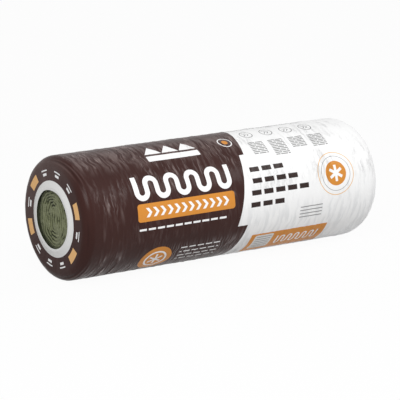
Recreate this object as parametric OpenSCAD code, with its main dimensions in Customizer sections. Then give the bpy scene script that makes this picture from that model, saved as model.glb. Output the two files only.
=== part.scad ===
// Mineral wool insulation roll: a pressed blanket wound tight inside a shrunk film sleeve.
// It lies on its side with its axis along X, and touches the ground along the line y = 0, z = 0.

/* [Roll] */
// Outside diameter of the wrapped roll
roll_d = 405; // [380:1:480]
// Length of the roll from lip to lip
roll_l = 1200; // [600:10:1300]

/* [Wound blanket] */
// Thickness of one pressed turn of the blanket
turn_pitch = 13; // [9:0.5:24]
// Straight length of the innermost turn, which is pressed flat
core_fold_l = 44; // [10:1:80]
// Width of the crease between two turns where it opens at an end
crease_w = 5; // [2:0.5:8]
// Depth of the crease
crease_depth = 6; // [2:0.5:12]

/* [Film sleeve] */
// Thickness of the film
film_t = 0.5; // [0.2:0.05:0.8]
// Slack between the film and the wool
film_slack = 0.5; // [0.3:0.05:0.8]
// Radius of the shoulder at the front end
front_shoulder = 32; // [15:1:50]
// Radius of the shoulder at the back end, where the film draws in more slowly
back_shoulder = 75; // [30:1:85]

/* [Film openings] */
// Diameter of the opening in each end
opening_d = 192; // [120:1:220]
// Width of the flat lip round an opening
lip_w = 8; // [4:0.5:14]
// Width of the sloping margin between the lip and the end face
margin_w = 20; // [10:1:30]
// How far a lip stands out from the end face
lip_h = 6; // [3:0.5:12]

/* [Film lap] */
// Width of the strip where the film laps over itself
lap_w = 60; // [20:1:120]
// Angle from the ground line, up the back, to the near edge of the lap
lap_from = 40; // [15:1:60]
// Distance from each shoulder to the end of the lap
lap_end_gap = 6; // [2:1:40]

/* [Hidden] */
$fn = 180;
// How far a cutting shape runs past the face that it cuts
cut_over = 1;
// Least width of end face left between a margin and the shoulder
end_face_min = 2;

roll_r = roll_d / 2;
half_l = roll_l / 2;
face_half_l = half_l - lip_h;
opening_r = opening_d / 2;
lip_r = opening_r + lip_w;
margin_r = lip_r + margin_w;
shoulder_max = roll_r - margin_r - end_face_min;
front_r = min(front_shoulder, shoulder_max);
back_r = min(back_shoulder, shoulder_max);
wool_inset = film_t + film_slack;
wool_half_l = face_half_l - wool_inset;
first_bend_r = turn_pitch / 2;
lap_angle = lap_w / roll_r * 180 / PI;

// Whole turns that fit on a flat end of radius flat_r
function turn_count(flat_r) = floor((flat_r - crease_w - first_bend_r) / turn_pitch);

// Straight length of turn k of n, to 0.1 mm: the pressed core grows rounder outward
function fold_l(k, n) = round(core_fold_l * (1 - k / n) * 10) / 10;

// Turns a shape that stands on Z so that it lies along X on the ground
module lay_down() {
    translate([0, 0, roll_r]) rotate([0, 90, 0]) children();
}

// What a shoulder of radius s takes off the square corner at radius r, height h
module shoulder_cut(r, h, s) {
    translate([r - s, h - s]) difference() {
        square(s + cut_over);
        circle(s);
    }
}

// Rounds both shoulders of a half section that is drawn in by inset: X is the radius, Y the axis
module round_shoulders(inset) {
    r = roll_r - inset;
    h = face_half_l - inset;
    difference() {
        children();
        shoulder_cut(r, h, back_r - inset);
        mirror([0, 1]) shoulder_cut(r, h, front_r - inset);
    }
}

// Half section of the wound blanket
module wool_section() {
    round_shoulders(wool_inset)
        translate([0, -wool_half_l]) square([roll_r - wool_inset, 2 * wool_half_l]);
}

// Half section of a closed roll whose ends are drawn out to the lips, drawn in by inset
module film_outline(inset) {
    r = roll_r - inset;
    h = face_half_l - inset;
    tip = half_l - inset;
    round_shoulders(inset) polygon([
        [0, -tip],
        [lip_r, -tip],
        [margin_r, -h],
        [r, -h],
        [r, h],
        [margin_r, h],
        [lip_r, tip],
        [0, tip],
    ]);
}

// Half section of the sleeve
module film_section() {
    difference() {
        film_outline(0);
        film_outline(film_t);
        translate([0, -roll_l]) square([opening_r, 2 * roll_l]);
    }
}

// The strip along the barrel where the film is two layers thick
module film_lap() {
    from_h = front_r + lap_end_gap - face_half_l;
    to_h = face_half_l - back_r - lap_end_gap;
    rotate([0, 0, lap_from]) rotate_extrude(angle = lap_angle)
        translate([roll_r - film_t / 2, from_h]) square([film_t * 1.5, to_h - from_h]);
}

// Section of a crease at radius r, which runs on above the face that it cuts
module crease_section(r) {
    polygon([
        [r - crease_w / 2, cut_over],
        [r - crease_w / 2, 0],
        [r, -crease_depth],
        [r + crease_w / 2, 0],
        [r + crease_w / 2, cut_over],
    ]);
}

// Half a turn of crease of radius r about (x, y), starting at angle start
module crease_bend(x, y, r, start) {
    translate([x, y, 0]) rotate([0, 0, start]) rotate_extrude(angle = 180) crease_section(r);
}

// A straight run of crease at x, from y0 up to y1
module crease_run(x, y0, y1) {
    translate([x, y1, 0]) rotate([90, 0, 0]) linear_extrude(height = y1 - y0) crease_section(0);
}

// The crease that winds out from the pressed core over a flat end of radius flat_r
module crease_spiral(flat_r) {
    n = turn_count(flat_r);
    crease_run(-first_bend_r, -core_fold_l / 4, core_fold_l / 2);
    for (k = [0 : n - 1]) {
        r = first_bend_r + k * turn_pitch;
        half_fold = fold_l(k, n) / 2;
        crease_bend(0, half_fold, r, 0);
        crease_run(r, -half_fold, half_fold);
        crease_bend(-turn_pitch / 2, -half_fold, r + turn_pitch / 2, 180);
        if (k < n - 1) crease_run(-r - turn_pitch, -half_fold, fold_l(k + 1, n) / 2);
    }
}

// Sets a shape on the back end of the wool, with its Y upright, and on the front end
module on_back_end() {
    translate([0, 0, wool_half_l]) rotate([0, 0, 90]) children();
}

module on_front_end() {
    mirror([0, 0, 1]) on_back_end() children();
}

// The wound blanket
module wool_roll() {
    color([0.39, 0.42, 0.29]) lay_down() difference() {
        rotate_extrude() wool_section();
        on_back_end() crease_spiral(roll_r - back_r);
        on_front_end() crease_spiral(roll_r - front_r);
    }
}

// The printed film round it
module film_sleeve() {
    color([0.26, 0.17, 0.16]) lay_down() {
        rotate_extrude() film_section();
        film_lap();
    }
}

wool_roll();
film_sleeve();
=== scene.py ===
"""Looks of an insulation roll: a wound mineral wool blanket in a printed, shrunk film sleeve.

The roll lies along X on the floor, its front end at -X, its axis at the height of its radius.
"Along" is the distance along the axis from the middle, "Round" is the distance round the barrel,
from the top line down the front, and "Out" is the distance from the axis, all in metres.
"""
import logging
import math
from dataclasses import dataclass, field, fields
from enum import Enum
from functools import cache, reduce
from typing import ClassVar, Sequence, Union

import bpy
import numpy as np
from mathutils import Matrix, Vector
from mathutils.kdtree import KDTree


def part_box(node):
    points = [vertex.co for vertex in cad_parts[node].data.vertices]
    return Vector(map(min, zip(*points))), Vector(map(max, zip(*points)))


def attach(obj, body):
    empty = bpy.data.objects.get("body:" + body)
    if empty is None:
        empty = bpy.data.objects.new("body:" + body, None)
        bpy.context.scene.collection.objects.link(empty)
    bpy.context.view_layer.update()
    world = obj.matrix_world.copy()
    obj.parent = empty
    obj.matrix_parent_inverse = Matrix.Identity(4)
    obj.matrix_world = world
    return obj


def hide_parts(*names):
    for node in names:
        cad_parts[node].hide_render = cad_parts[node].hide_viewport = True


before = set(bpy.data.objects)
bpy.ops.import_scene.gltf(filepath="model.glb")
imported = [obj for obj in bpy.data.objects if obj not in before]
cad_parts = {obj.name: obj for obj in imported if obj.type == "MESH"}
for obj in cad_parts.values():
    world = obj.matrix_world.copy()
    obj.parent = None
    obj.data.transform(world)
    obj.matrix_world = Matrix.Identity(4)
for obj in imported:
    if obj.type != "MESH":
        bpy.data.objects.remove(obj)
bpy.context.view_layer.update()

LOG = logging.getLogger("insulation_roll")
BODY = "root"
MM = 0.001
EDGE_SOFTNESS = 0.25 * MM
PLACE = ("Along", "Round")
Colour = tuple[float, float, float, float]


class Ink(Enum):
    """The colours printed on the film, as linear RGBA."""

    BROWN = (0.041, 0.0155, 0.0130, 1.0)
    WHITE = (0.84, 0.84, 0.84, 1.0)
    ORANGE = (0.60, 0.24, 0.040, 1.0)
    PALE_ORANGE = (0.73, 0.43, 0.180, 1.0)
    GREY = (0.26, 0.26, 0.26, 1.0)
    DARK = (0.033, 0.021, 0.019, 1.0)
    PALE_GREY = (0.71, 0.71, 0.70, 1.0)

    def shaded(self, share: float) -> Colour:
        """The colour, darkened to that share."""
        return (*(share * part for part in self.value[:3]), 1.0)


class End(Enum):
    """The two ends of the roll, by the sign of the X that they face."""

    FRONT = -1
    BACK = 1


class Zone(Enum):
    """The parts of the film that have a finish of their own, in the order of the piece's material slots."""

    BARREL = 0
    FRONT_FACE = 1
    BACK_FACE = 2
    MARGIN = 3
    INSIDE = 4


@dataclass(frozen=True)
class RollSizes:
    """The roll's sizes in metres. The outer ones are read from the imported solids."""

    radius: float
    half_length: float
    wool_half_length: float
    opening_radius: float = 0.096
    lip_width: float = 0.008
    margin_width: float = 0.020
    lip_height: float = 0.006
    front_shoulder: float = 0.032
    back_shoulder: float = 0.075
    turn_pitch: float = 0.013
    core_fold: float = 0.044

    @classmethod
    def from_frame(cls) -> "RollSizes":
        """Reads the outer sizes from the boxes of the two solids.

        Returns:
            The sizes.
        """
        low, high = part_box("film_sleeve")
        wool_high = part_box("wool_roll")[1]
        return cls(radius=(high.z - low.z) / 2, half_length=high.x, wool_half_length=wool_high.x)

    @property
    def face_half_length(self) -> float:
        """Distance from the middle to an end face."""
        return self.half_length - self.lip_height

    @property
    def barrel_start(self) -> float:
        """Where the barrel starts along the roll, at the end of the front shoulder."""
        return self.front_shoulder - self.face_half_length

    @property
    def barrel_end(self) -> float:
        """Where the barrel ends along the roll."""
        return self.face_half_length - self.back_shoulder

    @property
    def lip_radius(self) -> float:
        """Outer radius of the flat lip round an opening."""
        return self.opening_radius + self.lip_width

    @property
    def margin_radius(self) -> float:
        """Outer radius of the pale margin round an opening."""
        return self.lip_radius + self.margin_width


class Noise:
    """Smooth random heights on a plane, the same on each run."""

    SIDE: ClassVar[int] = 256
    LAYER_SHIFT: ClassVar[tuple[float, float]] = (17.3, 9.1)
    LAYERS_REACH: ClassVar[float] = 1.6

    def __init__(self, seed: int) -> None:
        """Fills the lattice.

        Args:
            seed: Picks the pattern.
        """
        self.lattice = np.random.default_rng(seed).uniform(-1.0, 1.0, (self.SIDE, self.SIDE))

    def at(self, u: np.ndarray, v: np.ndarray) -> np.ndarray:
        """Heights from -1 to 1 at lattice coordinates u and v.

        Args:
            u: First coordinates, where 1 is one cell.
            v: Second coordinates, of the same shape.

        Returns:
            The heights, of the same shape.
        """
        cell_u, cell_v = np.floor(u).astype(int), np.floor(v).astype(int)
        part_u, part_v = u - cell_u, v - cell_v
        part_u = part_u * part_u * (3 - 2 * part_u)
        part_v = part_v * part_v * (3 - 2 * part_v)
        near_u, far_u = cell_u % self.SIDE, (cell_u + 1) % self.SIDE
        near_v, far_v = cell_v % self.SIDE, (cell_v + 1) % self.SIDE
        low = self.lattice[near_u, near_v] * (1 - part_u) + self.lattice[far_u, near_v] * part_u
        high = self.lattice[near_u, far_v] * (1 - part_u) + self.lattice[far_u, far_v] * part_u
        return low * (1 - part_v) + high * part_v

    def layered(self, u: np.ndarray, v: np.ndarray, octaves: int) -> np.ndarray:
        """Heights of several layers, each half as wide and half as high as the one before.

        Args:
            u: First coordinates.
            v: Second coordinates.
            octaves: Number of layers.

        Returns:
            The heights, about -1 to 1.
        """
        shift_u, shift_v = self.LAYER_SHIFT
        total = np.zeros(np.broadcast(u, v).shape)
        for k in range(octaves):
            total += self.at(u * 2**k + shift_u * k, v * 2**k + shift_v * k) / 2**k
        return total / self.LAYERS_REACH


def smooth_step(value: np.ndarray, low: float, high: float) -> np.ndarray:
    """Rises smoothly from 0 at low to 1 at high.

    Args:
        value: Where to evaluate it.
        low: Where the rise starts.
        high: Where it ends. It may be less than low, and then it falls.

    Returns:
        The share reached.
    """
    share = np.clip((value - low) / (high - low), 0.0, 1.0)
    return share * share * (3 - 2 * share)


class Field:
    """A number or colour that changes over a surface. Arithmetic on it adds Math nodes to its tree."""

    def __init__(self, graph: "Graph", socket: bpy.types.NodeSocket) -> None:
        """Keeps the output that gives the value, and the tree that it is in."""
        self.graph = graph
        self.socket = socket

    def __add__(self, other: "Feed") -> "Field":
        """The sum."""
        return self.graph.math("ADD", self, other)

    def __sub__(self, other: "Feed") -> "Field":
        """The difference."""
        return self.graph.math("SUBTRACT", self, other)

    def __rsub__(self, other: float) -> "Field":
        """What is left of a plain number."""
        return self.graph.math("SUBTRACT", other, self)

    def __mul__(self, other: "Feed") -> "Field":
        """The product."""
        return self.graph.math("MULTIPLY", self, other)

    def __truediv__(self, other: "Feed") -> "Field":
        """The quotient."""
        return self.graph.math("DIVIDE", self, other)

    def __rtruediv__(self, other: float) -> "Field":
        """A plain number divided by it."""
        return self.graph.math("DIVIDE", other, self)

    def __neg__(self) -> "Field":
        """The value with the other sign."""
        return self * -1.0

    def __abs__(self) -> "Field":
        """The value without its sign."""
        return self.graph.math("ABSOLUTE", self)


Feed = Union[Field, float, Sequence[float]]


class Graph:
    """A shader node tree, with short calls for the nodes that the finishes use."""

    def __init__(self, tree: bpy.types.NodeTree) -> None:
        """Keeps the tree."""
        self.tree = tree

    def feed(self, socket: bpy.types.NodeSocket, value: Feed) -> None:
        """Links a socket to a field, or sets its value.

        Args:
            socket: The input.
            value: A field to link, or the value to set.
        """
        if isinstance(value, Field):
            self.tree.links.new(value.socket, socket)
        else:
            socket.default_value = value

    def fill(self, node: bpy.types.Node, values: dict[Union[str, int], Feed]) -> None:
        """Feeds several inputs of a node, by their names or numbers."""
        for key, value in values.items():
            self.feed(node.inputs[key], value)

    def node(self, kind: str, **settings: object) -> bpy.types.Node:
        """Adds a node.

        Args:
            kind: The node's type.
            **settings: Its properties.

        Returns:
            The node.
        """
        made = self.tree.nodes.new(kind)
        for name, value in settings.items():
            setattr(made, name, value)
        return made

    def math(self, operation: str, *values: Feed) -> Field:
        """Adds a Math node.

        Args:
            operation: The node's operation.
            *values: Its inputs.

        Returns:
            Its result.
        """
        made = self.node("ShaderNodeMath", operation=operation)
        self.fill(made, dict(enumerate(values)))
        return Field(self, made.outputs[0])

    def most(self, *values: Feed) -> Field:
        """The greatest of some values."""
        return reduce(lambda one, other: self.math("MAXIMUM", one, other), values)

    def least(self, *values: Feed) -> Field:
        """The least of some values."""
        return reduce(lambda one, other: self.math("MINIMUM", one, other), values)

    def length(self, along: Field, across: Field) -> Field:
        """The distance from 0 of a point with these two parts."""
        return self.math("SQRT", along * along + across * across)

    def wrap(self, value: Field, period: Union[Field, float]) -> Field:
        """Folds a value into one period that is centred on 0."""
        return self.math("WRAP", value, period * 0.5, period * -0.5)

    def box(self, along: Field, round_: Field, half_along: Feed, half_round: Feed) -> Field:
        """Signed distance from a box with sharp corners, by its nearest side.

        Args:
            along: Offset along.
            round_: Offset round.
            half_along: Half the box's size along.
            half_round: Half its size round.

        Returns:
            The distance.
        """
        return self.most(abs(along) - half_along, abs(round_) - half_round)

    def inside(self, distance: Field) -> Field:
        """Turns a signed distance, less than 0 inside, into a mask with a slightly soft edge."""
        return self.ramp(distance, EDGE_SOFTNESS, -EDGE_SOFTNESS)

    def ramp(self, value: Field, low: float, high: float, kind: str = "LINEAR") -> Field:
        """Maps a value from low..high to 0..1, clamped.

        Args:
            value: The value.
            low: Where the result is 0.
            high: Where it is 1.
            kind: The interpolation.

        Returns:
            The share.
        """
        made = self.node("ShaderNodeMapRange", interpolation_type=kind, clamp=True)
        self.fill(made, {"Value": value, "From Min": low, "From Max": high})
        return Field(self, made.outputs[0])

    def ease(self, value: Field, low: float, high: float) -> Field:
        """A ramp that starts and ends gently."""
        return self.ramp(value, low, high, "SMOOTHSTEP")

    def vector(self, *parts: Feed) -> Field:
        """Makes a vector.

        Args:
            *parts: Its parts, where those left out are 0.

        Returns:
            The vector.
        """
        made = self.node("ShaderNodeCombineXYZ")
        self.fill(made, dict(enumerate(parts)))
        return Field(self, made.outputs[0])

    def parts(self, vector: Field) -> tuple[Field, ...]:
        """Takes a vector apart.

        Args:
            vector: The vector.

        Returns:
            Its three parts.
        """
        made = self.node("ShaderNodeSeparateXYZ")
        self.feed(made.inputs[0], vector)
        return tuple(Field(self, output) for output in made.outputs)

    def noise(self, vector: Field, scale: Feed = 1.0, detail: float = 2.0, roughness: float = 0.5) -> Field:
        """Adds a Noise Texture node.

        Args:
            vector: Where it is evaluated.
            scale: Its scale.
            detail: Its number of finer layers.
            roughness: The weight of those layers.

        Returns:
            Its factor, about 0.2 to 0.8.
        """
        made = self.node("ShaderNodeTexNoise")
        self.fill(made, {"Vector": vector, "Scale": scale, "Detail": detail, "Roughness": roughness})
        return Field(self, made.outputs[0])

    def blend(self, share: Feed, under: Feed, over: Feed) -> Field:
        """Mixes two colours.

        Args:
            share: The share of the second one.
            under: The first colour.
            over: The second colour.

        Returns:
            The mixed colour.
        """
        made = self.node("ShaderNodeMix", data_type="RGBA")
        self.fill(made, {0: share, 6: under, 7: over})
        return Field(self, made.outputs[2])

    def place(self, group: bpy.types.NodeTree, **values: Feed) -> dict[str, Field]:
        """Places a node group.

        Args:
            group: The group.
            **values: Its inputs, with "_" for the spaces in their names, in any case.

        Returns:
            Its outputs, by their names.
        """
        made = self.node("ShaderNodeGroup", node_tree=group)
        self.fill(made, {socket_name(name): value for name, value in values.items()})
        return {output.name: Field(self, output) for output in made.outputs}


def socket_name(name: str) -> str:
    """The name of the group input that a field or argument of this name feeds."""
    return name.replace("_", " ").title()


class Effect(Graph):
    """A node group under construction. Its inputs are read with given() and its outputs set with put()."""

    def __init__(
        self, name: str, inputs: Sequence[str], outputs: Sequence[str], vectors: Sequence[str] = (),
    ) -> None:
        """Makes the group and its sockets.

        Args:
            name: The group's name.
            inputs: Names of its inputs.
            outputs: Names of its outputs, which are all values.
            vectors: Those of the inputs that are vectors.
        """
        super().__init__(bpy.data.node_groups.new(name, "ShaderNodeTree"))
        for label in inputs:
            kind = "NodeSocketVector" if label in vectors else "NodeSocketFloat"
            self.tree.interface.new_socket(name=label, in_out="INPUT", socket_type=kind)
        for label in outputs:
            self.tree.interface.new_socket(name=label, in_out="OUTPUT", socket_type="NodeSocketFloat")
        self.entry = self.node("NodeGroupInput")
        self.exit = self.node("NodeGroupOutput")

    def given(self, *names: str) -> Union[Field, list[Field]]:
        """The group's input of that name, or its inputs where several names are given."""
        found = [Field(self, self.entry.outputs[name]) for name in names]
        return found[0] if len(found) == 1 else found

    def put(self, name: str, value: Field) -> None:
        """Sets the group's output of that name."""
        self.feed(self.exit.inputs[name], value)

    def row(self, along: Field) -> tuple[Field, Field]:
        """Lays out a row of copies, centred on 0, from the inputs Columns and Pitch.

        Args:
            along: Distance along from the row's middle.

        Returns:
            Half the row's length, and the distance along from the nearest copy's middle.
        """
        columns, pitch = self.given("Columns", "Pitch")
        half_row = columns * pitch * 0.5
        return half_row, self.wrap(along + half_row - pitch * 0.5, pitch)


class Surface(Graph):
    """A material under construction, with its usual shader."""

    def __init__(self, name: str) -> None:
        """Makes the material.

        Args:
            name: Its name.
        """
        self.material = bpy.data.materials.new(name)
        self.material.use_nodes = True
        super().__init__(self.material.node_tree)
        self.shader = self.tree.nodes["Principled BSDF"]

    def point(self) -> Field:
        """The place on the piece, in metres."""
        return Field(self, self.node("ShaderNodeTexCoord").outputs["Object"])

    def stored(self, attribute: str, output: str) -> Field:
        """What the mesh stores under that name at each point, as a "Fac" number or a "Vector"."""
        return Field(self, self.node("ShaderNodeAttribute", attribute_name=attribute).outputs[output])

    def bump(self, height: Field, distance: float, strength: float) -> Field:
        """Adds a Bump node.

        Args:
            height: The height.
            distance: What a height of 1 stands for, in metres.
            strength: The share of it that is used.

        Returns:
            The bent normal.
        """
        made = self.node("ShaderNodeBump")
        self.fill(made, {"Strength": strength, "Distance": distance, "Height": height})
        return Field(self, made.outputs[0])


class Effects:
    """The node groups of the finishes. Each one is built once, when it is first asked for."""

    @staticmethod
    @cache
    def roll_place() -> bpy.types.NodeTree:
        """Turns a point into its distances along, round and out, and its turn about the axis.

        Panel is the distance round, folded into one repeat of the print.

        Returns:
            The group.
        """
        names = ("Point", "Axis Height", "Radius", "Cut Angle", "Panel Start", "Panel End")
        e = Effect("Roll place", names, ("Along", "Round", "Panel", "Out", "Turn"), vectors=("Point",))
        point, axis_height, radius, cut_angle, panel_start, panel_end = e.given(*names)
        along, across, height = e.parts(point)
        toward = -across
        above = height - axis_height
        turn = e.math("ARCTAN2", toward, above)
        round_ = (turn + e.math("LESS_THAN", turn, cut_angle) * (2 * math.pi)) * radius
        e.put("Along", along)
        e.put("Round", round_)
        e.put("Panel", e.math("WRAP", round_, panel_end, panel_start))
        e.put("Out", e.length(toward, above))
        e.put("Turn", e.math("ARCTAN2", above, toward))
        return e.tree

    @staticmethod
    @cache
    def film_creases() -> bpy.types.NodeTree:
        """Fine creases that run round the roll, from noise that is drawn out along them.

        Height is for the bump. The others are masks: the creases' Tops, thin Lines and wide Zoned Streaks
        that come in patches, and Streaks, which are as wide as the Zoned Streaks and run everywhere. The
        finishes lay painted sheen, painted glints and painted shade on the film with them.

        Returns:
            The group.
        """
        names = ("Height", "Tops", "Lines", "Zoned Streaks", "Streaks")
        e = Effect("Film creases", (*PLACE, "Crease Width", "Crease Length"), names)
        along, round_, width, length = e.given(*PLACE, "Crease Width", "Crease Length")
        across, on = along / width, round_ / length

        def drawn_out(start: Field, narrow: float, short: float, layer: float, *detail: float) -> Field:
            """Noise on its own layer: a cell is 1 / narrow crease widths by 1 / short crease lengths."""
            return e.noise(e.vector(start * narrow, on * short, layer), 1.0, *detail)

        swayed = drawn_out(across, 0.025, 0.8, 5.5) * 9.0 + across
        patches = drawn_out(across, 0.045, 0.55, 3.1)
        zones = drawn_out(across, 0.03, 0.4, 14.0)
        fine = drawn_out(swayed, 1.0, 1.0, 0.0, 1.0, 0.6)
        broad = drawn_out(swayed, 0.40, 1.0, 7.7)
        strands = drawn_out(swayed, 0.45, 0.8, 1.3, 1.0)
        lined = drawn_out(swayed, 0.42, 0.26, 21.0, 0.0)
        wide = drawn_out(swayed, 0.30, 0.55, 11.0)
        amount = e.ease(patches, 0.38, 0.64) * e.ease(strands, 0.44, 0.61)
        hairs = e.ease(abs(fine - 0.5), 0.10, 0.01)
        smears = e.ease(broad, 0.50, 0.72)
        thin = e.ease(abs(lined - 0.5), 0.060, 0.010)
        e.put("Height", (hairs + smears * 1.4) * amount)
        e.put("Tops", (hairs * 0.42 + smears * 0.62) * amount)
        e.put("Lines", thin * e.ease(zones, 0.40, 0.54))
        e.put("Zoned Streaks", e.ease(wide, 0.50, 0.66) * e.ease(zones, 0.42, 0.60))
        e.put("Streaks", e.ease(wide, 0.44, 0.62))
        return e.tree

    @staticmethod
    @cache
    def split() -> bpy.types.NodeTree:
        """The stepped, leaning edge between the brown and the white print.

        Returns:
            The group.
        """
        names = ("Lean", "First Along", "Second Along", "Third Along", "First Step", "Second Step")
        e = Effect("Split", (*PLACE, *names), ("White",))
        along, round_, lean, first, second, third, first_step, second_step = e.given(*PLACE, *names)
        after_first = e.math("GREATER_THAN", round_, first_step)
        after_second = e.math("GREATER_THAN", round_, second_step)
        edge = first + round_ * lean + after_first * (second - first) + after_second * (third - second)
        e.put("White", e.inside(edge - along))
        return e.tree

    @staticmethod
    @cache
    def surface_grain() -> bpy.types.NodeTree:
        """A fine grain and a broad cloudiness, for small changes of colour and gloss.

        Returns:
            The group.
        """
        e = Effect("Surface grain", ("Point", "Grain Size", "Cloud Size"), ("Grain", "Clouds"), ("Point",))
        point, grain_size, cloud_size = e.given("Point", "Grain Size", "Cloud Size")
        e.put("Grain", e.noise(point, 1.0 / grain_size, 3.0))
        e.put("Clouds", e.noise(point, 1.0 / cloud_size, 3.0))
        return e.tree


@dataclass(frozen=True)
class Mark:
    """One printed shape. Its fields after ink are inputs of its node group, beside the place."""

    ink: Ink
    centre_along: float
    centre_round: float

    @classmethod
    @cache
    def group(cls) -> bpy.types.NodeTree:
        """Builds the shape's node group, once.

        Returns:
            The group. It puts out 1 where the shape is printed.
        """
        sizes = [socket_name(f.name) for f in fields(cls) if f.name != "ink"]
        e = Effect(cls.__name__, (*PLACE, *sizes), ("Mask",))
        along, round_, centre_along, centre_round = e.given(*PLACE, "Centre Along", "Centre Round")
        e.put("Mask", e.inside(cls.distance(e, along - centre_along, round_ - centre_round)))
        return e.tree

    @staticmethod
    def distance(e: Effect, along: Field, round_: Field) -> Field:
        """Signed distance from the shape's edge.

        Args:
            e: The shape's group.
            along: Distance along from the shape's centre.
            round_: Distance round from it.

        Returns:
            The distance, less than 0 inside.
        """
        raise NotImplementedError

    def mask(self, g: Graph, along: Field, round_: Field) -> Field:
        """Places the shape's group.

        Args:
            g: The material's tree.
            along: Place along the roll.
            round_: Place round it.

        Returns:
            1 where the shape is printed.
        """
        sizes = {f.name: getattr(self, f.name) for f in fields(self) if f.name != "ink"}
        return g.place(self.group(), along=along, round=round_, **sizes)["Mask"]


@dataclass(frozen=True)
class Bar(Mark):
    """A bar with rounded corners."""

    half_along: float
    half_round: float
    corner: float

    @staticmethod
    def distance(e: Effect, along: Field, round_: Field) -> Field:
        """Signed distance from the bar's edge.

        Args:
            e: The shape's group.
            along: Distance along from the shape's centre.
            round_: Distance round from it.

        Returns:
            The distance.
        """
        half_along, half_round, corner = e.given("Half Along", "Half Round", "Corner")
        beside = abs(along) - (half_along - corner)
        above = abs(round_) - (half_round - corner)
        outer = e.length(e.most(beside, 0.0), e.most(above, 0.0))
        return outer + e.least(e.most(beside, above), 0.0) - corner


@dataclass(frozen=True)
class Ring(Mark):
    """A ring, or a disc where its radius is 0."""

    radius: float
    half_line: float

    @staticmethod
    def distance(e: Effect, along: Field, round_: Field) -> Field:
        """Signed distance from the ring's edge."""
        radius, half_line = e.given("Radius", "Half Line")
        return abs(e.length(along, round_) - radius) - half_line


@dataclass(frozen=True)
class Meander(Mark):
    """One line that runs up and down in round bends, the drafting sign for soft insulation.

    It has an even number of strokes, and both of its ends are at the top.
    """

    strokes: float
    pitch: float
    half_straight: float
    half_line: float

    @staticmethod
    def distance(e: Effect, along: Field, round_: Field) -> Field:
        """Signed distance from the line's edge.

        Args:
            e: The shape's group.
            along: Distance along from the shape's centre.
            round_: Distance round from it.

        Returns:
            The distance.
        """
        strokes, pitch, half_straight, half_line = e.given("Strokes", "Pitch", "Half Straight", "Half Line")
        half_pitch = pitch * 0.5
        half_along = strokes * half_pitch
        last_stroke = half_along - half_pitch
        far_along, far_round = abs(along), abs(round_)
        lower = e.math("GREATER_THAN", round_, 0.0)
        folded = e.wrap(along + half_along + lower * pitch, pitch * 2.0)
        bends = abs(e.length(folded, e.most(far_round - half_straight, 0.0)) - half_pitch)
        straight = abs(far_along - last_stroke)
        free = e.math("GREATER_THAN", far_along, half_along - pitch) * (1.0 - lower)
        line = bends + free * (straight - bends)
        ends = e.most(far_along - last_stroke, far_round - (half_straight + half_pitch))
        return e.most(line, ends) - half_line


@dataclass(frozen=True)
class Peaks(Mark):
    """A row of solid triangles that stand on one line."""

    columns: float
    pitch: float
    half_base: float
    half_height: float

    @staticmethod
    def distance(e: Effect, along: Field, round_: Field) -> Field:
        """Signed distance from the nearest triangle's edge.

        Args:
            e: The shape's group.
            along: Distance along from the shape's centre.
            round_: Distance round from it.

        Returns:
            The distance.
        """
        half_base, half_height = e.given("Half Base", "Half Height")
        half_row, beside = e.row(along)
        fallen = (round_ + half_height) / (half_height * 2.0)
        return e.most(abs(beside) - fallen * half_base, e.box(along, round_, half_row, half_height))


@dataclass(frozen=True)
class Chevrons(Mark):
    """A row of chevrons that point along the row."""

    columns: float
    half_round: float
    pitch: float
    slope: float
    half_line: float

    @staticmethod
    def distance(e: Effect, along: Field, round_: Field) -> Field:
        """Signed distance from the nearest chevron's edge.

        Args:
            e: The shape's group.
            along: Distance along from the shape's centre.
            round_: Distance round from it.

        Returns:
            The distance.
        """
        half_round, slope, half_line = e.given("Half Round", "Slope", "Half Line")
        drawn_back = along + abs(round_) * slope
        half_row, beside = e.row(drawn_back)
        steepness = e.math("SQRT", slope * slope + 1.0)
        line = abs(beside) / steepness - half_line
        return e.most(line, e.box(drawn_back, round_, half_row, half_round))


@dataclass(frozen=True)
class Dashes(Mark):
    """Rows of short bars, with every other row moved on by a share of the pitch."""

    columns: float
    rows: float
    pitch: float
    row_pitch: float
    half_dash: float
    half_line: float
    row_shift: float = 0.0

    @staticmethod
    def distance(e: Effect, along: Field, round_: Field) -> Field:
        """Signed distance from the nearest bar's edge.

        Args:
            e: The shape's group.
            along: Distance along from the shape's centre.
            round_: Distance round from it.

        Returns:
            The distance.
        """
        columns, rows, pitch, row_pitch = e.given("Columns", "Rows", "Pitch", "Row Pitch")
        half_dash, half_line, row_shift = e.given("Half Dash", "Half Line", "Row Shift")
        half_run = (columns - 1.0) * pitch * 0.5
        half_rise = (rows - 1.0) * row_pitch * 0.5
        from_top = round_ + half_rise
        odd = e.math("FLOORED_MODULO", e.math("ROUND", from_top / row_pitch), 2.0)
        beside = e.wrap(along + half_run + odd * row_shift * pitch, pitch)
        dash = e.box(beside, e.wrap(from_top, row_pitch), half_dash, half_line)
        return e.most(dash, e.box(along, round_, half_run + half_dash, half_rise + half_line))


@dataclass(frozen=True)
class Rays(Mark):
    """Straight lines that cross in one point."""

    rays: float
    reach: float
    half_line: float

    @staticmethod
    def distance(e: Effect, along: Field, round_: Field) -> Field:
        """Signed distance from the nearest line's edge.

        Args:
            e: The shape's group.
            along: Distance along from the shape's centre.
            round_: Distance round from it.

        Returns:
            The distance.
        """
        rays, reach, half_line = e.given("Rays", "Reach", "Half Line")
        turn = e.wrap(e.math("ARCTAN2", along, round_), 2 * math.pi / rays)
        away = e.length(along, round_)
        beside = away * abs(e.math("SINE", turn))
        return e.most(beside - half_line, away - reach)


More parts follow.
